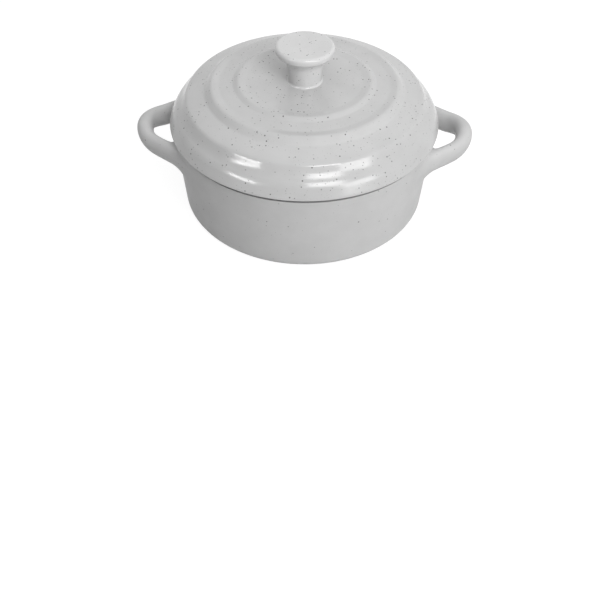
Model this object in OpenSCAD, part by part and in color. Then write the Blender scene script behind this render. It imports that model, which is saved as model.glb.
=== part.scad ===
// Small round casserole dish with a stepped lid, in speckled glazed stoneware.
// The foot ring stands on z = 0, +Z is up and the two handles lie along X. Sizes are in millimetres.

/* [Dish] */
// Outer radius of the wall at the base
base_r = 48.9; // [42:0.1:60]
// Outer radius of the wall at the rim
rim_r = 51.1; // [44:0.1:62]
// Height of the dish from the table to its rim
dish_h = 35; // [26:0.5:60]
// Thickness of the wall
wall = 5; // [4:0.1:7]
// Thickness of the floor
floor_t = 5; // [3.5:0.1:8]
// Rounding between the floor and the wall, inside
cove_r = 6; // [2:0.5:12]
// Rounding of the outer corner at the base
base_round = 2.6; // [0.5:0.1:4]
// Rounding of both edges of the rim
rim_round = 1.5; // [0.5:0.1:1.8]
// Width of the foot ring under the base
foot_w = 6; // [3:0.5:12]
// Depth of the recess inside the foot ring
foot_recess = 0.8; // [0.3:0.1:2]

/* [Handles] */
// Clear space between the wall and the middle of a handle
finger_gap = 9.3; // [6:0.1:25]
// Depth of the middle of a handle below the rim
handle_drop = 6.5; // [4.5:0.1:12]
// Width of the bar at the middle of the bow
bar_w = 6.5; // [4:0.1:12]
// Height of the bar at the middle of the bow
bar_h = 7.9; // [5:0.1:12]
// Radius of the bow, along the middle of the bar
bow_r = 12.3; // [8:0.1:20]
// Angle between a leg and the line through both handles
leg_angle = 36.5; // [25:0.5:50]
// Width of a leg
leg_w = 5.2; // [3.5:0.1:9]
// Height of a leg
leg_h = 9; // [5:0.1:12]
// How far the legs drop from the bow to the wall
leg_fall = 1.8; // [0:0.1:5]
// Outward lean of the legs, in degrees
leg_lean = 5; // [0:1:20]
// How far the ends of the legs spread on the wall, on the outer side
root_spread = 7; // [1:0.1:12]
// How far the ends of the legs spread on the wall, on the side of the finger gap
root_inner = 6.8; // [1:0.1:8]
// How square the section of the bar is, from 2 for an oval
bar_square = 2.2; // [2:0.1:4]
// Share of its height that the lower edge of the bar gives up on the inner side
inner_lift = 0.3; // [0:0.05:0.5]

/* [Lid] */
// How far the lid reaches past the rim of the dish
lid_overhang = 1.4; // [0.8:0.1:4]
// Height of the top ring above the seat
lid_rise = 16.5; // [14:0.1:30]
// Thickness of the lid
lid_wall = 4.5; // [3.5:0.1:6]
// Width from the edge of the lid to its lowest ring
band_w = 7.2; // [5:0.1:12]
// Width of the lower terrace, from the lowest ring to the middle ring
lower_terrace_w = 9.7; // [6:0.1:12]
// Width of the upper terrace, from the middle ring to the top ring
upper_terrace_w = 10.4; // [6:0.1:13]
// Depth of the plateau below the top ring
plateau_dip = 0.5; // [0.1:0.05:1]
// Depth of the upper terrace below the middle ring
terrace_dip = 0.35; // [0.1:0.05:1]
// Width of the soft slope from a ring down into the dip inside it
dip_w = 3.2; // [2:0.1:5]
// Drop of the step at the top ring
top_step = 1; // [0.5:0.1:3]
// Width of the step at the top ring
top_run = 2.4; // [1:0.1:4]
// Fall of the upper terrace
upper_fall = 0.5; // [0.2:0.1:2]
// Drop of the step at the middle ring
mid_step = 2.45; // [1:0.05:4]
// Width of the step at the middle ring
mid_run = 3; // [1:0.1:4]
// Fall of the lower terrace
lower_fall = 2.2; // [0.2:0.1:3]
// Drop of the step at the lowest ring
low_step = 3.3; // [1:0.1:4]
// Width of the step at the lowest ring
low_run = 2.05; // [1:0.05:4]
// Rounding of the dips inside the rings
dip_round = 5; // [2:0.5:8]
// Rounding of the top and middle rings and of the hollows below them
ring_round = 2.2; // [0.5:0.1:3]
// Rounding of the lowest ring
low_ring_round = 2.4; // [0.5:0.1:4]
// Width of the shoulder, from the edge of the lid to the sloping band
shoulder_w = 2.5; // [1.5:0.1:4]
// Height of the top of the shoulder above the seat
shoulder_h = 4.75; // [3:0.05:7]
// Rounding of the band at both ends
band_round = 6; // [2:0.5:10]
// Height of the upright edge of the lid above the seat
edge_h = 1; // [0.5:0.1:2]
// Lean of the upright edge
edge_lean = 0.4; // [0.1:0.1:1]
// Rounding between the upright edge and the shoulder
edge_turn = 3; // [1:0.5:5]
// Rounding of the lower edge of the lid
edge_round = 0.8; // [0.3:0.1:1]
// Depth of the locating ring below the seat
ring_depth = 4; // [2:0.1:8]
// Thickness of the locating ring
ring_w = 3.7; // [2.5:0.1:6]
// Clearance between the locating ring and the mouth of the dish
ring_gap = 1.2; // [0.8:0.1:2]

/* [Knob] */
// Height of the knob above the plateau
knob_h = 14.4; // [12:0.1:25]
// Radius of the cap
cap_r = 11; // [9:0.1:18]
// Thickness of the cap at its edge
cap_edge = 3; // [2:0.1:5]
// Rounding of the edge of the cap
cap_round = 1.45; // [0.5:0.05:2.5]
// Depth of the hollow in the top of the cap
cap_dish = 0.5; // [0.1:0.1:1]
// Radius of the neck at its waist
neck_r = 5.7; // [4:0.1:8]
// Radius of the neck where the cap begins to flare out
neck_top_r = 7; // [4.5:0.1:9]
// Radius of the foot of the neck
neck_foot_r = 6.4; // [5:0.1:9]
// Height of the flared foot of the neck
neck_foot_h = 1.6; // [0.8:0.1:3]
// Depth of the flare between the neck and the cap
cap_flare = 2.6; // [1.5:0.1:6]

/* [Hidden] */
$fn = 128;

// Steps of each rounded corner in an outline
corner_steps = 8;
// Share of a side that one rounded corner may take up
corner_share = 0.49;

// Corner b between its neighbours a and c, as an arc of radius r or of what the two sides have room for
function corner(a, b, c, r) =
    let (
        u = (a - b) / norm(a - b),
        v = (c - b) / norm(c - b),
        half = acos(u * v) / 2,
        room = min(norm(a - b), norm(c - b)) * corner_share,
        reach = min(r / tan(half), room),
        arc_r = reach * tan(half),
        centre = b + (u + v) / norm(u + v) * arc_r / sin(half),
        from = b + u * reach - centre,
        to = b + v * reach - centre,
        start = atan2(from.y, from.x),
        turn = atan2(cross(from, to), from * to)
    )
    [for (i = [0 : corner_steps])
        let (angle = start + turn * i / corner_steps)
        centre + arc_r * [cos(angle), sin(angle)]];

// Closed outline from points [radius, height, rounding]
function outline(points) =
    let (n = len(points))
    [for (i = [0 : n - 1])
        let (
            p = points[i],
            before = points[(i + n - 1) % n],
            after = points[(i + 1) % n]
        )
        each p[2] == 0
            ? [[p.x, p.y]]
            : corner([before.x, before.y], [p.x, p.y], [after.x, after.y], p[2])];

module turned(points) {
    rotate_extrude()
        polygon(outline(points));
}

// Radius of the outer face of the wall at height z
wall_slope = (rim_r - base_r) / dish_h;
function wall_r(z) = base_r + wall_slope * z;

// Turned pan with a foot ring, a coved floor and a rounded rim
foot_inner_r = base_r - base_round - foot_w;
floor_z = foot_recess + floor_t;
mouth_r = rim_r - wall;

module dish_body() {
    color([0.74, 0.74, 0.74])
        turned([
            [0, foot_recess, 0],
            [foot_inner_r - foot_recess, foot_recess, 0],
            [foot_inner_r, 0, 0],
            [base_r, 0, base_round],
            [rim_r, dish_h, rim_round],
            [mouth_r, dish_h, rim_round],
            [wall_r(floor_z) - wall, floor_z, cove_r],
            [0, floor_z, 0]
        ]);
}

// Solid bounded by the outer face of the wall, which the ends of the handles are cut to
module wall_form() {
    cylinder(h = dish_h, r1 = base_r, r2 = rim_r);
}

// The bar of a handle runs round the bow and along two straight legs to the wall.
bar_z = dish_h - handle_drop;
bow_turn = 90 - leg_angle;
bow_x = wall_r(bar_z) + finger_gap + bar_w / 2 - bow_r;
leg_dir = [-sin(bow_turn), cos(bow_turn), 0];
leg_out = [cos(bow_turn), sin(bow_turn), 0];
// Stretch of a straight leg over which the bar reaches its full leg section
leg_even = 2.4;
// Steps along half a bow, along a leg, along the spread end, and round the bar
bow_steps = 8;
leg_steps = 2;
root_steps = 6;
bar_sides = 20;
// Share of the spread end that stands clear of the wall, and how far the rest runs into it before it is cut
root_share = 0.85;
root_depth = 1.5;
// Least height that the upper side of an end may spread through below the rounding of the rim
least_headroom = 0.2;

function ease(t) = t * t * (3 - 2 * t);

// Cosine or sine of a round section, pushed out towards a square with rounded corners
function squared(share) = sign(share) * pow(abs(share), 2 / bar_square);

// Point of the bar's section in [outward, up], where k runs from 0 at the bow to 1 on the legs
function section(k, angle) =
    let (
        wide = squared(cos(angle)),
        tall = squared(sin(angle)),
        lift = tall < 0 && wide < 0 ? 1 + inner_lift * wide : 1,
        across = (bar_w + (leg_w - bar_w) * k) / 2 * wide,
        rise = (bar_h + (leg_h - bar_h) * k) / 2 * tall * lift,
        lean = leg_lean * k
    )
    [across * cos(lean) + rise * sin(lean), rise * cos(lean) - across * sin(lean)];

bow_len = bow_r * bow_turn * PI / 180;

// Ring of the bar at a distance along it from the middle of the bow
function bar_ring(along) =
    let (
        turn = min(along, bow_len) / bow_len * bow_turn,
        straight = max(along - bow_len, 0),
        out = [cos(turn), sin(turn), 0],
        k = ease(min(along / (bow_len + leg_even), 1)),
        centre = [bow_x, 0, bar_z - leg_fall * k] + bow_r * out + leg_dir * straight
    )
    [for (i = [0 : bar_sides - 1])
        let (s = section(k, 360 * i / bar_sides))
        centre + out * s.x + [0, 0, s.y]];

// Where a line along the leg through p meets the wall, as a distance from p
function reach_wall(p) =
    let (
        b = p.x * leg_dir.x + p.y * leg_dir.y,
        c = p.x * p.x + p.y * p.y - pow(wall_r(p.z), 2)
    )
    -b - sqrt(b * b - c);

function wall_normal(p) =
    let (r = norm([p.x, p.y]), n = [p.x / r, p.y / r, -wall_slope])
    n / norm(n);

// Point of the spread end: the line through p curves from the leg on to the wall, t from 0 to 1
function root_point(p, angle, t) =
    let (
        hit = p + leg_dir * reach_wall(p),
        n = wall_normal(hit),
        facing = leg_out * (cos(angle) / leg_w) + [0, 0, sin(angle) / leg_h],
        along_wall = facing - n * (facing * n),
        spread_dir = along_wall / norm(along_wall),
        wanted = root_inner + (root_spread - root_inner) * (1 + cos(angle)) / 2,
        headroom = max(dish_h - rim_round - hit.z, least_headroom),
        spread = 1 / norm([1 / wanted, max(spread_dir.z, 0) / headroom]),
        flat_end = hit + spread_dir * spread,
        end_r = norm([flat_end.x, flat_end.y]),
        fit = wall_r(flat_end.z) / end_r,
        end = [flat_end.x * fit, flat_end.y * fit, flat_end.z],
        end_n = wall_normal(end),
        run = ((end - p) * end_n) / (leg_dir * end_n),
        bend = p + leg_dir * run,
        begin = bend - leg_dir * min(wanted, run)
    )
    begin * pow(1 - t, 2) + bend * (2 * t * (1 - t)) + end * pow(t, 2);

leg_ring = bar_ring(bow_len + leg_even);

function root_ring(t) =
    [for (i = [0 : bar_sides - 1]) root_point(leg_ring[i], 360 * i / bar_sides, t)];

function buried(ring) = [for (p = ring) p - wall_normal(p) * root_depth];

half_rings = [
    for (i = [1 : bow_steps]) bar_ring(bow_len * i / bow_steps),
    for (i = [1 : leg_steps]) bar_ring(bow_len + leg_even * i / leg_steps),
    for (i = [0 : root_steps]) root_ring(root_share * i / root_steps),
    buried(root_ring(root_share))
];

function other_side(ring) = [for (p = ring) [p.x, -p.y, p.z]];

half_count = len(half_rings);
bar_rings = [
    for (i = [half_count - 1 : -1 : 0]) other_side(half_rings[i]),
    bar_ring(0),
    each half_rings
];

function middle(ring) = ring * [for (p = ring) 1] / len(ring);

// Closed skin over rings of equal length, with a point in the middle of each end
module skin(rings) {
    m = len(rings[0]);
    last = len(rings) - 1;
    first_mid = len(rings) * m;
    points = [
        for (ring = rings) each ring,
        [for (axis = [0 : 2]) middle([for (p = rings[0]) p[axis]])],
        [for (axis = [0 : 2]) middle([for (p = rings[last]) p[axis]])]
    ];
    sides = [
        for (i = [0 : last - 1])
            for (j = [0 : m - 1])
                let (a = i * m + j, b = i * m + (j + 1) % m)
                each [[a, b, b + m], [a, b + m, a + m]]
    ];
    ends = [
        for (j = [0 : m - 1])
            each [
                [first_mid, (j + 1) % m, j],
                [first_mid + 1, last * m + j, last * m + (j + 1) % m]
            ]
    ];
    polyhedron(points, concat(sides, ends));
}

module handle() {
    difference() {
        skin(bar_rings);
        wall_form();
    }
}

module handle_right() {
    color([0.78, 0.78, 0.78])
        handle();
}

module handle_left() {
    color([0.70, 0.70, 0.70])
        rotate([0, 0, 180])
            handle();
}

// The lid sits on the rim: its rings are set in from its edge, and its heights come down from the top ring.
seat_z = dish_h;
lid_r = rim_r + lid_overhang;
low_ring_r = lid_r - band_w;
mid_ring_r = low_ring_r - lower_terrace_w;
top_ring_r = mid_ring_r - upper_terrace_w;
top_ring_z = seat_z + lid_rise;
plateau_z = top_ring_z - plateau_dip;
top_foot_z = top_ring_z - top_step;
terrace_z = top_foot_z - upper_fall;
mid_ring_z = terrace_z + terrace_dip;
mid_foot_z = mid_ring_z - mid_step;
low_ring_z = mid_foot_z - lower_fall;
low_foot_z = low_ring_z - low_step;
locator_r = mouth_r - ring_gap;
hollow_r = locator_r - ring_w;
// Rounding of the locating ring's lower edges and of the hollow above it
locator_round = 1;
hollow_round = 5;

module lid() {
    color([0.80, 0.80, 0.80])
        turned([
            [0, plateau_z, 0],
            [top_ring_r - dip_w, plateau_z, dip_round],
            [top_ring_r, top_ring_z, ring_round],
            [top_ring_r + top_run, top_foot_z, ring_round],
            [mid_ring_r - dip_w, terrace_z, dip_round],
            [mid_ring_r, mid_ring_z, ring_round],
            [mid_ring_r + mid_run, mid_foot_z, ring_round],
            [low_ring_r, low_ring_z, low_ring_round],
            [low_ring_r + low_run, low_foot_z, band_round],
            [lid_r - shoulder_w, seat_z + shoulder_h, band_round],
            [lid_r - edge_lean, seat_z + edge_h, edge_turn],
            [lid_r, seat_z, edge_round],
            [locator_r, seat_z, 0],
            [locator_r, seat_z - ring_depth, locator_round],
            [hollow_r, seat_z - ring_depth, locator_round],
            [hollow_r, mid_foot_z - lid_wall, hollow_round],
            [top_ring_r + top_run, top_foot_z - lid_wall, hollow_round],
            [0, top_foot_z - lid_wall, 0]
        ]);
}

// The knob stands on the plateau: a flared foot, a neck that widens upwards and a cap with a rounded edge
knob_top_z = plateau_z + knob_h;
cap_low_z = knob_top_z - cap_edge;
neck_round = 2 * cap_flare;

module lid_knob() {
    color([0.84, 0.84, 0.84])
        turned([
            [0, plateau_z, 0],
            [neck_foot_r, plateau_z, 0],
            [neck_r, plateau_z + neck_foot_h, neck_foot_h],
            [neck_top_r, cap_low_z - cap_flare, neck_round],
            [cap_r, cap_low_z, cap_round],
            [cap_r, knob_top_z, cap_round],
            [0, knob_top_z - cap_dish, 0]
        ]);
}

dish_body();
handle_left();
handle_right();
lid();
lid_knob();
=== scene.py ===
import math
from functools import partial

import bpy
import numpy as np
from mathutils import Matrix, Vector


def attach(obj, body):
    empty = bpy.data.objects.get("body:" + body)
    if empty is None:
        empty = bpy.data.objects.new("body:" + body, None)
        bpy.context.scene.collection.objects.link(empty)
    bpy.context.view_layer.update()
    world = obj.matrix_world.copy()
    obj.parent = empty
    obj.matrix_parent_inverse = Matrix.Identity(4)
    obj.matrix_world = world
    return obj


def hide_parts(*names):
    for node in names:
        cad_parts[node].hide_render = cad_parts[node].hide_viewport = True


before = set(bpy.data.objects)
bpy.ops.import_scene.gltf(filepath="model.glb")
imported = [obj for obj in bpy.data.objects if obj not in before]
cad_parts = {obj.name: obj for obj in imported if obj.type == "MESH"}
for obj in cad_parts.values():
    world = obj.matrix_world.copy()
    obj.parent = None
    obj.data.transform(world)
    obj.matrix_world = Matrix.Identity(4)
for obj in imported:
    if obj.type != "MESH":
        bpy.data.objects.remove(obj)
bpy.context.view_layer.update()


# Dish body
# A straight-sided stoneware pan, a little wider at its rim, with a coved floor and a foot ring.
# Turned in one piece, dipped in speckled glaze, and wiped down to the clay on the foot ring.
# The recessed ledge under the lid's edge has the clay tone laid on as painted shade.
MM = 0.001
BASE_R = 48.9
RIM_R = 51.1
DISH_H = 35.0
WALL = 5.0
FLOOR_T = 5.0
FOOT_RECESS = 0.8
FOOT_W = 6.0
FOOT_EDGE_ROUND = 0.3
BASE_ROUND = 2.6
RIM_ROUND = 1.5
LEDGE_H = 1.6
LEDGE_W = 2.2
LEDGE_ROUND = 0.4
COVE_R = 6.0
FOOT_INNER_R = BASE_R - BASE_ROUND - FOOT_W
FLOOR_Z = FOOT_RECESS + FLOOR_T
LEDGE_R = RIM_R - LEDGE_W
LEDGE_Z = DISH_H - LEDGE_H
MOUTH_R = RIM_R - WALL
WALL_SLOPE = (RIM_R - BASE_R) / DISH_H
TURNED_SIDES = 224
SEAM_W = 0.002
CORNER_STEPS = 14
CORNER_SHARE = 0.49
OUTLINE_RUN = 0.8


def wall_r(z):
    return BASE_R + WALL_SLOPE * z


def soft_outline(corners):
    """Half outline in [radius, height], in short runs, from corners [radius, height, rounding]."""
    flat = [np.array(corner[:2], float) for corner in corners]
    rough = [flat[0]]
    for before, here, after, corner in zip(flat, flat[1:], flat[2:], corners[1:]):
        if corner[2] == 0:
            rough.append(here)
            continue
        u = (before - here) / np.linalg.norm(before - here)
        v = (after - here) / np.linalg.norm(after - here)
        half = math.acos(np.clip(u @ v, -1, 1)) / 2
        room = CORNER_SHARE * min(np.linalg.norm(before - here), np.linalg.norm(after - here))
        reach = min(corner[2] / math.tan(half), room)
        radius = reach * math.tan(half)
        centre = here + (u + v) / np.linalg.norm(u + v) * radius / math.sin(half)
        first = here + u * reach - centre
        last = here + v * reach - centre
        start = math.atan2(first[1], first[0])
        turn = math.atan2(first[0] * last[1] - first[1] * last[0], first @ last)
        for step in range(CORNER_STEPS + 1):
            angle = start + turn * step / CORNER_STEPS
            rough.append(centre + radius * np.array([math.cos(angle), math.sin(angle)]))
    rough.append(flat[-1])
    fine = [rough[0]]
    for point in rough[1:]:
        last = fine[-1]
        length = np.linalg.norm(point - last)
        parts = max(1, math.ceil(length / OUTLINE_RUN))
        fine += [last + (point - last) * part / parts for part in range(1, parts + 1)]
    return np.array(fine)


def feed(tree, socket, given):
    """Link another socket into this one, or set it where a number or a colour is given."""
    if isinstance(given, bpy.types.NodeSocket):
        tree.links.new(given, socket)
    elif given is not None:
        socket.default_value = given


def math_node(tree, operation, a, b=None):
    made = tree.nodes.new("ShaderNodeMath")
    made.operation = operation
    feed(tree, made.inputs[0], a)
    feed(tree, made.inputs[1], b)
    return made.outputs[0]


def wheel_tree():
    """Geometry nodes that carry each point of a half outline round the upright axis, as a potter's
    wheel does, and the identifiers of their inputs."""
    tree = bpy.data.node_groups.new("turned_on_a_wheel", "GeometryNodeTree")
    sockets = {}
    for label, kind in (
        ("Half outline", "NodeSocketGeometry"),
        ("Sides", "NodeSocketInt"),
        ("Seam width", "NodeSocketFloat"),
        ("Glaze", "NodeSocketMaterial"),
    ):
        made = tree.interface.new_socket(label, in_out="INPUT", socket_type=kind)
        sockets[label] = made.identifier
    tree.interface.new_socket("Turned form", in_out="OUTPUT", socket_type="NodeSocketGeometry")
    link = tree.links.new
    value = partial(math_node, tree)

    def node(kind, **settings):
        made = tree.nodes.new(kind)
        for key, setting in settings.items():
            setattr(made, key, setting)
        return made

    given = node("NodeGroupInput").outputs
    size = node("GeometryNodeAttributeDomainSize", component="MESH")
    link(given["Half outline"], size.inputs[0])
    rows = size.outputs["Point Count"]
    grid = node("GeometryNodeMeshGrid")
    link(value("ADD", given["Sides"], 1), grid.inputs["Vertices X"])
    link(rows, grid.inputs["Vertices Y"])
    index = node("GeometryNodeInputIndex").outputs[0]
    column = value("FLOOR", value("DIVIDE", value("ADD", index, 0.5), rows))
    row = value("SUBTRACT", index, value("MULTIPLY", column, rows))
    place = node("GeometryNodeInputPosition")
    sample = node("GeometryNodeSampleIndex", data_type="FLOAT_VECTOR", domain="POINT")
    link(given["Half outline"], sample.inputs["Geometry"])
    link(place.outputs[0], sample.inputs["Value"])
    link(row, sample.inputs["Index"])
    split = node("ShaderNodeSeparateXYZ")
    link(sample.outputs[0], split.inputs[0])
    radius = split.outputs["X"]
    angle = value("DIVIDE", value("MULTIPLY", column, 2 * math.pi), given["Sides"])
    join = node("ShaderNodeCombineXYZ")
    link(value("MULTIPLY", radius, value("COSINE", angle)), join.inputs["X"])
    link(value("MULTIPLY", radius, value("SINE", angle)), join.inputs["Y"])
    link(split.outputs["Z"], join.inputs["Z"])
    move = node("GeometryNodeSetPosition")
    link(grid.outputs["Mesh"], move.inputs["Geometry"])
    link(join.outputs[0], move.inputs["Position"])
    weld = node("GeometryNodeMergeByDistance")
    link(move.outputs[0], weld.inputs["Geometry"])
    link(given["Seam width"], weld.inputs["Distance"])
    smooth = node("GeometryNodeSetShadeSmooth")
    link(weld.outputs[0], smooth.inputs["Geometry"])
    real = node("GeometryNodeRealizeInstances")
    link(smooth.outputs[0], real.inputs[0])
    finish = node("GeometryNodeSetMaterial")
    link(real.outputs[0], finish.inputs["Geometry"])
    link(given["Glaze"], finish.inputs["Material"])
    out = node("NodeGroupOutput")
    link(finish.outputs[0], out.inputs[0])
    return tree, sockets


wheel, wheel_socket = wheel_tree()


def turn_piece(name, corners, glaze):
    """Turned piece whose half outline runs from the axis round its outside and back to the axis."""
    outline = soft_outline(corners) * MM
    seed = bpy.data.meshes.new(name)
    edges = [(i, i + 1) for i in range(len(outline) - 1)]
    seed.from_pydata([(r, 0, z) for r, z in outline], edges, [])
    piece = bpy.data.objects.new(name, seed)
    bpy.context.collection.objects.link(piece)
    turning = piece.modifiers.new("wheel", "NODES")
    turning.node_group = wheel
    turning[wheel_socket["Sides"]] = TURNED_SIDES
    turning[wheel_socket["Seam width"]] = SEAM_W * MM
    turning[wheel_socket["Glaze"]] = glaze
    graph = bpy.context.evaluated_depsgraph_get()
    form = bpy.data.meshes.new_from_object(piece.evaluated_get(graph), depsgraph=graph)
    piece.modifiers.clear()
    piece.data = form
    form.name = name
    return piece


# Noises are [size in mm, detail, seed], and the sizes of specks are shares of their cell.
NOISE_ENDS = (0.3, 0.7)
CROWD_NOISE = (14, 1, 3.0)
CROWD_ENDS = (0.35, 0.65)
CROWD_FEW = 0.45
CROWD_MANY = 1.5
DARK_SPECKS = {"cell_mm": 1.6, "small": 0.11, "large": 0.23, "seed": 1.0}
FINE_SPECKS = {"cell_mm": 1.0, "small": 0.10, "large": 0.20, "seed": 7.0}
FINE_SHARE = 0.9
FINE_STRENGTH = 0.5
SPECK_CORE = 0.55
SPECK_FAINTEST = 0.45
SPECK_TONE = 0.09
CLOUD_NOISE = (9, 3, 5.0)
CLOUD_TONES = (0.97, 1.02)
GLOSS_NOISE = (6, 2, 9.0)
GLOSS_SWING = 0.03
WAVE_NOISE = (7, 2, 11.0)
WAVE_DEPTH = 0.06
# Tone that darkens the lid's outer band, as painted shade.
BAND_SHADE_TONE = 0.93
# Tone of the unglazed clay, also laid on the rim ledge as painted shade.
CLAY_AND_LEDGE_SHADE_TONE = 0.28
CLAY_ROUGHNESS = 0.8
WIPE_H = 0.4
LEDGE_SHADE_MARGIN = 0.1
MASK_SOFT = 0.15
COLOUR_A, COLOUR_B, COLOUR_RESULT = 6, 7, 2


def grey(tone):
    return (tone, tone, tone, 1)


def speckled_glaze(
    name, tone, speck_share, roughness, index, bare_below, shaded_ledge=None, shaded_band=None
):
    """Pale glaze with dark iron specks that lies a little uneven. It is wiped off down to the clay
    below a height. Where a ledge is given by a radius and a height, the clay tone is laid outside
    and above them as painted shade. Where two radii are given for a band, the tone darkens from the
    first to the second and stays darker beyond, as painted shade."""
    glaze = bpy.data.materials.new(name)
    glaze.use_nodes = True
    tree = glaze.node_tree
    link = tree.links.new
    value = partial(math_node, tree)
    shader = tree.nodes["Principled BSDF"].inputs
    coords = tree.nodes.new("ShaderNodeTexCoord").outputs["Object"]

    def noise(size_mm, detail, seed):
        made = tree.nodes.new("ShaderNodeTexNoise")
        made.noise_dimensions = "4D"
        made.inputs["W"].default_value = seed
        made.inputs["Scale"].default_value = 1 / (size_mm * MM)
        made.inputs["Detail"].default_value = detail
        link(coords, made.inputs["Vector"])
        return made.outputs["Fac"]

    def ramp(source, low, high, to_low, to_high):
        made = tree.nodes.new("ShaderNodeMapRange")
        made.interpolation_type = "SMOOTHSTEP"
        labels = ("Value", "From Min", "From Max", "To Min", "To Max")
        for label, given in zip(labels, (source, low, high, to_low, to_high)):
            feed(tree, made.inputs[label], given)
        return made.outputs["Result"]

    def laid_over(share, below, above, blend="MIX"):
        made = tree.nodes.new("ShaderNodeMix")
        made.data_type = "RGBA"
        made.blend_type = blend
        feed(tree, made.inputs["Factor"], share)
        feed(tree, made.inputs[COLOUR_A], below)
        feed(tree, made.inputs[COLOUR_B], above)
        return made.outputs[COLOUR_RESULT]

    def specks(share, cell_mm, small, large, seed):
        """Mask of specks: one chance of a speck in each cell, of its own size and strength."""
        shift = tree.nodes.new("ShaderNodeVectorMath")
        shift.inputs[1].default_value = (seed * MM, 2 * seed * MM, 3 * seed * MM)
        link(coords, shift.inputs[0])
        cells = tree.nodes.new("ShaderNodeTexVoronoi")
        cells.inputs["Scale"].default_value = 1 / (cell_mm * MM)
        link(shift.outputs[0], cells.inputs["Vector"])
        draws = tree.nodes.new("ShaderNodeSeparateColor")
        link(cells.outputs["Color"], draws.inputs[0])
        radius = ramp(draws.outputs["Green"], 0.0, 1.0, small, large)
        core = value("MULTIPLY", radius, SPECK_CORE)
        spot = ramp(cells.outputs["Distance"], core, radius, 1.0, 0.0)
        chosen = value("LESS_THAN", draws.outputs["Red"], share)
        strength = ramp(draws.outputs["Blue"], 0.0, 1.0, SPECK_FAINTEST, 1.0)
        return value("MULTIPLY", value("MULTIPLY", spot, chosen), strength)

    few, many = CROWD_FEW * speck_share, CROWD_MANY * speck_share
    crowd = ramp(noise(*CROWD_NOISE), *CROWD_ENDS, few, many)
    dark = specks(crowd, **DARK_SPECKS)
    fine = specks(value("MULTIPLY", crowd, FINE_SHARE), **FINE_SPECKS)
    mask = value("MAXIMUM", dark, value("MULTIPLY", fine, FINE_STRENGTH))
    place = tree.nodes.new("ShaderNodeSeparateXYZ")
    link(coords, place.inputs[0])
    x, y, z = (place.outputs[axis] for axis in "XYZ")
    radius = value("SQRT", value("ADD", value("MULTIPLY", x, x), value("MULTIPLY", y, y)))
    cloud = ramp(noise(*CLOUD_NOISE), *NOISE_ENDS, *CLOUD_TONES)
    # Painted shade: the lid's outer band is darkened in its tone.
    if shaded_band:
        start_r, end_r = shaded_band
        band_shade = ramp(radius, start_r * MM, end_r * MM, 1.0, BAND_SHADE_TONE)
        cloud = value("MULTIPLY", cloud, band_shade)
    bare_and_shaded = ramp(z, bare_below * MM, (bare_below + MASK_SOFT) * MM, 1.0, 0.0)
    # Painted shade: the clay tone is laid on the ledge under the lid.
    if shaded_ledge:
        seat_r, seat_z = shaded_ledge
        outside = ramp(radius, (seat_r - MASK_SOFT) * MM, seat_r * MM, 0.0, 1.0)
        above = ramp(z, (seat_z - MASK_SOFT) * MM, seat_z * MM, 0.0, 1.0)
        bare_and_shaded = value("MAXIMUM", bare_and_shaded, value("MULTIPLY", outside, above))
    ground = laid_over(1.0, grey(tone), cloud, "MULTIPLY")
    speckled = laid_over(mask, ground, grey(SPECK_TONE))
    link(laid_over(bare_and_shaded, speckled, grey(CLAY_AND_LEDGE_SHADE_TONE)), shader["Base Color"])
    smoothest, roughest = roughness - GLOSS_SWING, roughness + GLOSS_SWING
    gloss = ramp(noise(*GLOSS_NOISE), *NOISE_ENDS, smoothest, roughest)
    link(value("MAXIMUM", gloss, value("MULTIPLY", bare_and_shaded, CLAY_ROUGHNESS)), shader["Roughness"])
    waves = tree.nodes.new("ShaderNodeBump")
    waves.inputs["Strength"].default_value = 1.0
    waves.inputs["Distance"].default_value = WAVE_DEPTH * MM
    link(noise(*WAVE_NOISE), waves.inputs["Height"])
    link(waves.outputs["Normal"], shader["Normal"])
    shader["IOR"].default_value = index
    return glaze


# The recessed ledge under the lid's edge gets the clay tone as painted shade.
glaze_body = speckled_glaze(
    "glaze_body", tone=0.59, speck_share=0.10, roughness=0.6, index=1.38,
    bare_below=WIPE_H, shaded_ledge=(LEDGE_R - LEDGE_SHADE_MARGIN, LEDGE_Z - LEDGE_SHADE_MARGIN),
)
dish = turn_piece("dish_body_glazed", [
    (0, FOOT_RECESS, 0),
    (FOOT_INNER_R - FOOT_RECESS, FOOT_RECESS, FOOT_EDGE_ROUND),
    (FOOT_INNER_R, 0, FOOT_EDGE_ROUND),
    (BASE_R, 0, BASE_ROUND),
    (wall_r(LEDGE_Z), LEDGE_Z, LEDGE_ROUND),
    (LEDGE_R, LEDGE_Z, LEDGE_ROUND),
    (LEDGE_R, DISH_H, LEDGE_ROUND),
    (MOUTH_R, DISH_H, RIM_ROUND),
    (wall_r(FLOOR_Z) - WALL, FLOOR_Z, COVE_R),
    (0, FLOOR_Z, 0),
], glaze_body)
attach(dish, "dish")
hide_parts("dish_body")


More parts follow.
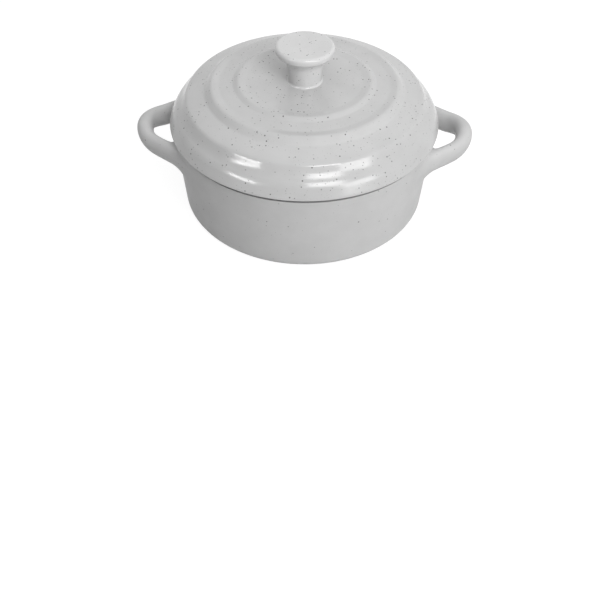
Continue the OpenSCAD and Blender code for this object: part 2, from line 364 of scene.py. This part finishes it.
# Side handles
# Two solid clay loops, each a bow with two straight legs, stuck on under the rim with slip.
# The ends are smoothed on to the wall into soft fillets, and the dish's glaze runs over them.
FINGER_GAP = 9.3
HANDLE_DROP = 6.5
BAR_W = 6.5
BAR_H = 7.9
BAR_SQUARE = 2.2
INNER_LIFT = 0.3
BOW_R = 12.3
LEG_ANGLE = math.radians(36.5)
LEG_W = 5.2
LEG_H = 9
LEG_FALL = 1.8
LEG_LEAN = math.radians(5)
LEG_EVEN = 2.4
ROOT_SPREAD = 7
ROOT_INNER = 6.8
ROOT_SINK = 0.05
ROOT_DEPTH = 1.2
ROOT_TOP_Z = LEDGE_Z - LEDGE_ROUND
LEAST_HEADROOM = 0.2
BAR_SIDES = 72
BOW_STEPS = 40
LEG_STEPS = 8
ROOT_STEPS = 24
BAR_Z = DISH_H - HANDLE_DROP
BOW_TURN = math.pi / 2 - LEG_ANGLE
BOW_X = wall_r(BAR_Z) + FINGER_GAP + BAR_W / 2 - BOW_R
BOW_LEN = BOW_R * BOW_TURN
LEG_DIR = np.array([-math.sin(BOW_TURN), math.cos(BOW_TURN), 0])
LEG_OUT = np.array([math.cos(BOW_TURN), math.sin(BOW_TURN), 0])
UP = np.array([0, 0, 1.0])
ROUND_BAR = np.linspace(0, 2 * math.pi, BAR_SIDES, endpoint=False)


def squared(share):
    """Cosine or sine of a round section, pushed out towards a square with rounded corners."""
    return np.sign(share) * np.abs(share) ** (2 / BAR_SQUARE)


def bar_ring(along):
    """Ring of the bar at a distance along it from the middle of the bow."""
    turn = min(along, BOW_LEN) / BOW_LEN * BOW_TURN
    out = np.array([math.cos(turn), math.sin(turn), 0])
    share = min(along / (BOW_LEN + LEG_EVEN), 1)
    share = share * share * (3 - 2 * share)
    wide, tall = squared(np.cos(ROUND_BAR)), squared(np.sin(ROUND_BAR))
    across = (BAR_W + (LEG_W - BAR_W) * share) / 2 * wide
    rise = (BAR_H + (LEG_H - BAR_H) * share) / 2 * tall
    rise = np.where((tall < 0) & (wide < 0), rise * (1 + INNER_LIFT * wide), rise)
    middle = np.array([BOW_X, 0, BAR_Z - LEG_FALL * share])
    centre = middle + BOW_R * out + LEG_DIR * max(along - BOW_LEN, 0)
    lean = LEG_LEAN * share
    outward = across * math.cos(lean) + rise * math.sin(lean)
    upward = rise * math.cos(lean) - across * math.sin(lean)
    return centre + outward[:, None] * out + upward[:, None] * UP


def wall_normal(p):
    n = np.array([p[0], p[1], -WALL_SLOPE * math.hypot(p[0], p[1])])
    return n / np.linalg.norm(n)


def root_lines():
    """For each line along the bar, the three points of the curve that carries it on to the wall."""
    lines = []
    for p, angle in zip(bar_ring(BOW_LEN + LEG_EVEN), ROUND_BAR):
        closing = p[0] * LEG_DIR[0] + p[1] * LEG_DIR[1]
        outside = p[0] ** 2 + p[1] ** 2 - wall_r(p[2]) ** 2
        run = -closing - math.sqrt(closing * closing - outside)
        hit = p + LEG_DIR * run
        n = wall_normal(hit)
        facing = LEG_OUT * (math.cos(angle) / LEG_W) + UP * (math.sin(angle) / LEG_H)
        along_wall = facing - n * (facing @ n)
        away = along_wall / np.linalg.norm(along_wall)
        spread = ROOT_INNER + (ROOT_SPREAD - ROOT_INNER) * (1 + math.cos(angle)) / 2
        headroom = max(ROOT_TOP_Z - hit[2], LEAST_HEADROOM)
        reach = 1 / math.hypot(1 / spread, max(away[2], 0) / headroom)
        flat_end = hit + away * reach
        fit = wall_r(flat_end[2]) / math.hypot(flat_end[0], flat_end[1])
        end = flat_end * np.array([fit, fit, 1])
        n = wall_normal(end)
        run = ((end - p) @ n) / (LEG_DIR @ n)
        bend = p + LEG_DIR * run
        lines.append((bend - LEG_DIR * min(spread, run), bend, end - n * ROOT_SINK))
    return [np.array(points) for points in zip(*lines)]


def handle_piece(name, side, glaze):
    """Handle as one skin over rings from end to end; side is 1 on the right and -1 on the left."""
    begin, bend, end = root_lines()
    half = [bar_ring(BOW_LEN * step / BOW_STEPS) for step in range(BOW_STEPS + 1)]
    half += [bar_ring(BOW_LEN + LEG_EVEN * step / LEG_STEPS) for step in range(1, LEG_STEPS + 1)]
    for step in range(ROOT_STEPS + 1):
        t = step / ROOT_STEPS
        half.append(begin * (1 - t) ** 2 + bend * 2 * t * (1 - t) + end * t ** 2)
    half.append(np.array([p - wall_normal(p) * ROOT_DEPTH for p in half[-1]]))
    mirror = np.array([1, -1, 1])
    rings = [ring * mirror for ring in half[:0:-1]] + half
    turned = np.array([side, side, 1])
    points = np.concatenate(rings) * turned * MM
    last = len(rings) - 1
    faces = []
    for i in range(last):
        for j in range(BAR_SIDES):
            a, b = i * BAR_SIDES + j, i * BAR_SIDES + (j + 1) % BAR_SIDES
            faces.append((a, b, b + BAR_SIDES, a + BAR_SIDES))
    faces.append(tuple(range(BAR_SIDES - 1, -1, -1)))
    faces.append(tuple(last * BAR_SIDES + j for j in range(BAR_SIDES)))
    form = bpy.data.meshes.new(name)
    form.from_pydata(points.tolist(), [], faces)
    form.shade_smooth()
    form.materials.append(glaze)
    piece = bpy.data.objects.new(name, form)
    bpy.context.collection.objects.link(piece)
    return piece


for side, node in ((-1, "handle_left"), (1, "handle_right")):
    handle = handle_piece(node + "_glazed", side, glaze_body)
    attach(handle, "dish")
    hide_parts(node)


# Lid
# A stepped dome of stoneware with a flat plateau, two terraces and a rounded edge band.
# Turned and hollowed; the ring under it drops into the mouth of the dish and holds the loose lid.
LID_OVERHANG = 1.4
LID_RISE = 16.5
LID_WALL = 4.5
BAND_W = 7.2
LOWER_TERRACE_W = 9.7
UPPER_TERRACE_W = 10.4
PLATEAU_DIP = 0.5
TERRACE_DIP = 0.35
DIP_W = 3.2
DIP_ROUND = 5.0
TOP_STEP = 1.0
TOP_RUN = 2.0
UPPER_FALL = 0.5
MID_STEP = 2.45
MID_RUN = 2.6
LOWER_FALL = 2.2
LOW_STEP = 3.45
LOW_RUN = 2.15
RING_ROUND = 2.2
LOW_RING_ROUND = 2.4
BAND_ROUND = 12.0
SHOULDER_W = 2.5
SHOULDER_H = 4.95
EDGE_H = 1.0
EDGE_LEAN = 0.4
EDGE_TURN = 3.0
EDGE_ROUND = 0.8
SEAT_ROUND = 0.3
LOCATOR_DEPTH = 4.0
LOCATOR_W = 3.7
LOCATOR_GAP = 1.2
LOCATOR_ROUND = 1.0
HOLLOW_ROUND = 5.0
# Radii round the low ring where the painted shade of the outer band begins and ends.
BAND_SHADE_START = 4
BAND_SHADE_END = 3
LID_R = RIM_R + LID_OVERHANG
LOW_RING_R = LID_R - BAND_W
MID_RING_R = LOW_RING_R - LOWER_TERRACE_W
TOP_RING_R = MID_RING_R - UPPER_TERRACE_W
TOP_RING_Z = DISH_H + LID_RISE
PLATEAU_Z = TOP_RING_Z - PLATEAU_DIP
TOP_FOOT_Z = TOP_RING_Z - TOP_STEP
TERRACE_Z = TOP_FOOT_Z - UPPER_FALL
MID_RING_Z = TERRACE_Z + TERRACE_DIP
MID_FOOT_Z = MID_RING_Z - MID_STEP
LOW_RING_Z = MID_FOOT_Z - LOWER_FALL
LOW_FOOT_Z = LOW_RING_Z - LOW_STEP
LOCATOR_R = MOUTH_R - LOCATOR_GAP
LOCATOR_Z = DISH_H - LOCATOR_DEPTH
HOLLOW_R = LOCATOR_R - LOCATOR_W

# The lid's outer band is darkened as painted shade.
glaze_lid = speckled_glaze(
    "glaze_lid", tone=0.58, speck_share=0.78, roughness=0.17, index=1.5,
    bare_below=LOCATOR_Z + WIPE_H, shaded_band=(LOW_RING_R - BAND_SHADE_START, LOW_RING_R + BAND_SHADE_END),
)
lid = turn_piece("lid_glazed", [
    (0, TOP_FOOT_Z - LID_WALL, 0),
    (TOP_RING_R + TOP_RUN, TOP_FOOT_Z - LID_WALL, HOLLOW_ROUND),
    (HOLLOW_R, MID_FOOT_Z - LID_WALL, HOLLOW_ROUND),
    (HOLLOW_R, LOCATOR_Z, LOCATOR_ROUND),
    (LOCATOR_R, LOCATOR_Z, LOCATOR_ROUND),
    (LOCATOR_R, DISH_H, SEAT_ROUND),
    (LID_R, DISH_H, EDGE_ROUND),
    (LID_R - EDGE_LEAN, DISH_H + EDGE_H, EDGE_TURN),
    (LID_R - SHOULDER_W, DISH_H + SHOULDER_H, BAND_ROUND),
    (LOW_RING_R + LOW_RUN, LOW_FOOT_Z, BAND_ROUND),
    (LOW_RING_R, LOW_RING_Z, LOW_RING_ROUND),
    (MID_RING_R + MID_RUN, MID_FOOT_Z, RING_ROUND),
    (MID_RING_R, MID_RING_Z, RING_ROUND),
    (MID_RING_R - DIP_W, TERRACE_Z, DIP_ROUND),
    (TOP_RING_R + TOP_RUN, TOP_FOOT_Z, RING_ROUND),
    (TOP_RING_R, TOP_RING_Z, RING_ROUND),
    (TOP_RING_R - DIP_W, PLATEAU_Z, DIP_ROUND),
    (0, PLATEAU_Z, 0),
], glaze_lid)
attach(lid, "lid")
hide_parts("lid")


# Knob
# A flat mushroom of stoneware, turned by itself and stuck on the plateau with slip before glazing.
# Its cap has a rounded edge and a slight hollow on top, and its neck flares up under the cap.
KNOB_H = 14.4
CAP_R = 11.0
CAP_EDGE = 2.6
CAP_ROUND = 1.27
CAP_DISH = 0.5
CAP_FLARE = 2.6
FLARE_ROUND = 5.2
NECK_R = 6.2
NECK_TOP_R = 7.0
FOOT_ROUND = 0.9
FOOT_RUN = 2.2
FOOT_SINK = 0.1
KNOB_TOP_Z = PLATEAU_Z + KNOB_H
CAP_LOW_Z = KNOB_TOP_Z - CAP_EDGE

# The knob's glaze is a lighter copy of the lid's glaze: painted light for the brighter knob.
glaze_knob_painted_light = speckled_glaze(
    "glaze_knob_painted_light", tone=0.69, speck_share=0.75, roughness=0.14, index=1.5, bare_below=0
)
knob = turn_piece("lid_knob_glazed", [
    (0, PLATEAU_Z - FOOT_SINK, 0),
    (NECK_R + FOOT_RUN, PLATEAU_Z - FOOT_SINK, 0),
    (NECK_R, PLATEAU_Z - FOOT_SINK / 2, FOOT_ROUND),
    (NECK_TOP_R, CAP_LOW_Z - CAP_FLARE, FLARE_ROUND),
    (CAP_R, CAP_LOW_Z, CAP_ROUND),
    (CAP_R, KNOB_TOP_Z, CAP_ROUND),
    (0, KNOB_TOP_Z - CAP_DISH, 0),
], glaze_knob_painted_light)
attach(knob, "lid")
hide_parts("lid_knob")


# Studio
# A plain white floor that keeps the soft shadow, in a pale room that is brighter above and behind.
# Two softboxes stand in front, to the right; a strip light on the left shows only in the gloss.
ROOM_LEVEL = 0.2
ROOM_LEAN = (0.04, 0.2, 0.0)
ROOM_CROWN = 1.15
CROWN_FOCUS = 4.0
OVERHEAD = (0.0, 0.0, 1.0)
WHITE = grey(1)
FLOOR_HALF = 3.0
FLOOR_GLOW = 0.90
FLOOR_PAINT = 0.18
FLOOR_BOUNCE = 0.55
LIGHT_AIM = Vector((0, 0, 0.04))
LIGHT_DISTANCE = 0.9

scene = bpy.context.scene
scene.view_settings.view_transform = "Standard"


def seen_white(tree):
    """Share of rays that see the white ground: the camera's, and those off gloss or in glass."""
    path = tree.nodes.new("ShaderNodeLightPath")
    share = path.outputs["Is Camera Ray"]
    for label in ("Is Glossy Ray", "Is Transmission Ray"):
        share = math_node(tree, "MAXIMUM", share, path.outputs[label])
    return share


room = bpy.data.worlds.new("pale_room")
room.use_nodes = True
scene.world = room
room_tree = room.node_tree
room_value = partial(math_node, room_tree)
bearing = room_tree.nodes.new("ShaderNodeTexCoord").outputs["Generated"]


def towards(direction):
    """Cosine between the direction that is looked in and the given one."""
    made = room_tree.nodes.new("ShaderNodeVectorMath")
    made.operation = "DOT_PRODUCT"
    made.inputs[1].default_value = direction
    room_tree.links.new(bearing, made.inputs[0])
    return made.outputs["Value"]


crown = room_value("POWER", room_value("MAXIMUM", towards(OVERHEAD), 0.0), CROWN_FOCUS)
uneven = room_value("ADD", towards(ROOM_LEAN), room_value("MULTIPLY", crown, ROOM_CROWN))
room_light = room_tree.nodes["Background"]
room_light.inputs["Color"].default_value = WHITE
room_tree.links.new(room_value("ADD", uneven, ROOM_LEVEL), room_light.inputs["Strength"])
room_white = room_tree.nodes.new("ShaderNodeBackground")
room_white.inputs["Color"].default_value = WHITE
room_white.inputs["Strength"].default_value = 1.0
room_mix = room_tree.nodes.new("ShaderNodeMixShader")
room_tree.links.new(seen_white(room_tree), room_mix.inputs[0])
room_tree.links.new(room_light.outputs[0], room_mix.inputs[1])
room_tree.links.new(room_white.outputs[0], room_mix.inputs[2])
room_tree.links.new(room_mix.outputs[0], room_tree.nodes["World Output"].inputs["Surface"])

ground_corners = [(-1, -1), (1, -1), (1, 1), (-1, 1)]
ground_mesh = bpy.data.meshes.new("floor")
ground_mesh.from_pydata(
    [(x * FLOOR_HALF, y * FLOOR_HALF, 0) for x, y in ground_corners], [], [(0, 1, 2, 3)]
)
ground = bpy.data.objects.new("floor", ground_mesh)
bpy.context.collection.objects.link(ground)
floor_paint = bpy.data.materials.new("floor_paint")
floor_paint.use_nodes = True
floor_tree = floor_paint.node_tree
floor_tree.nodes.remove(floor_tree.nodes["Principled BSDF"])
plain = floor_tree.nodes.new("ShaderNodeBsdfDiffuse")
plain.inputs["Color"].default_value = grey(FLOOR_BOUNCE)
lit = floor_tree.nodes.new("ShaderNodeBsdfDiffuse")
lit.inputs["Color"].default_value = grey(FLOOR_PAINT)
glow = floor_tree.nodes.new("ShaderNodeEmission")
glow.inputs["Strength"].default_value = FLOOR_GLOW
bright = floor_tree.nodes.new("ShaderNodeAddShader")
floor_tree.links.new(lit.outputs[0], bright.inputs[0])
floor_tree.links.new(glow.outputs[0], bright.inputs[1])
floor_mix = floor_tree.nodes.new("ShaderNodeMixShader")
floor_tree.links.new(seen_white(floor_tree), floor_mix.inputs[0])
floor_tree.links.new(plain.outputs[0], floor_mix.inputs[1])
floor_tree.links.new(bright.outputs[0], floor_mix.inputs[2])
floor_tree.links.new(floor_mix.outputs[0], floor_tree.nodes["Material Output"].inputs["Surface"])
ground_mesh.materials.append(floor_paint)


def softbox(name, azimuth, elevation, wide, tall, tip, radiance):
    """Soft panel at a bearing from the front, with sizes and tip in degrees as the dish sees it."""
    a, e = math.radians(azimuth), math.radians(elevation)
    back = Vector((math.sin(a) * math.cos(e), -math.cos(a) * math.cos(e), math.sin(e)))
    lamp = bpy.data.lights.new(name, "AREA")
    lamp.shape = "RECTANGLE"
    lamp.size = 2 * LIGHT_DISTANCE * math.tan(math.radians(wide) / 2)
    lamp.size_y = 2 * LIGHT_DISTANCE * math.tan(math.radians(tall) / 2)
    lamp.energy = radiance * math.pi * lamp.size * lamp.size_y
    panel = bpy.data.objects.new(name, lamp)
    panel.location = LIGHT_AIM + back * LIGHT_DISTANCE
    facing = back.to_track_quat("Z", "Y").to_matrix()
    panel.rotation_euler = (facing @ Matrix.Rotation(math.radians(tip), 3, "Z")).to_euler()
    bpy.context.collection.objects.link(panel)
    return panel


softbox("softbox_right", azimuth=46.5, elevation=22, wide=27, tall=18, tip=0, radiance=6.4)
softbox("softbox_front", azimuth=21, elevation=39.5, wide=24, tall=17, tip=-6, radiance=9.2)
strip_left = softbox(
    "strip_light_left", azimuth=-49, elevation=23.2, wide=22, tall=8, tip=-4, radiance=14.0
)
strip_left.visible_diffuse = False


# Camera
# It looks down on the dish from the front, rolled a little, through a plain lens without shift.
# The focal length is given in pixels of the square frame.
EYE = Vector((6.60, -267.30, 214.69)) * MM
LOOK_AT = Vector((-1.12, 0, -70.80)) * MM
ROLL = math.radians(0.44)
FOCAL_PX = 800.0
FRAME_PX = 600
SENSOR_W = 36
CLIP_NEAR = 0.01
ahead = (LOOK_AT - EYE).normalized()
level = ahead.cross(Vector(OVERHEAD)).normalized()
upright = level.cross(ahead)
right = level * math.cos(ROLL) + upright * math.sin(ROLL)
top = upright * math.cos(ROLL) - level * math.sin(ROLL)
lens = bpy.data.cameras.new("camera")
lens.sensor_width = SENSOR_W
lens.lens = SENSOR_W * FOCAL_PX / FRAME_PX
lens.clip_start = CLIP_NEAR
camera = bpy.data.objects.new("camera", lens)
turned_to = Matrix((right, top, -ahead)).transposed().to_4x4()
camera.matrix_world = Matrix.Translation(EYE) @ turned_to
bpy.context.collection.objects.link(camera)
scene.camera = camera
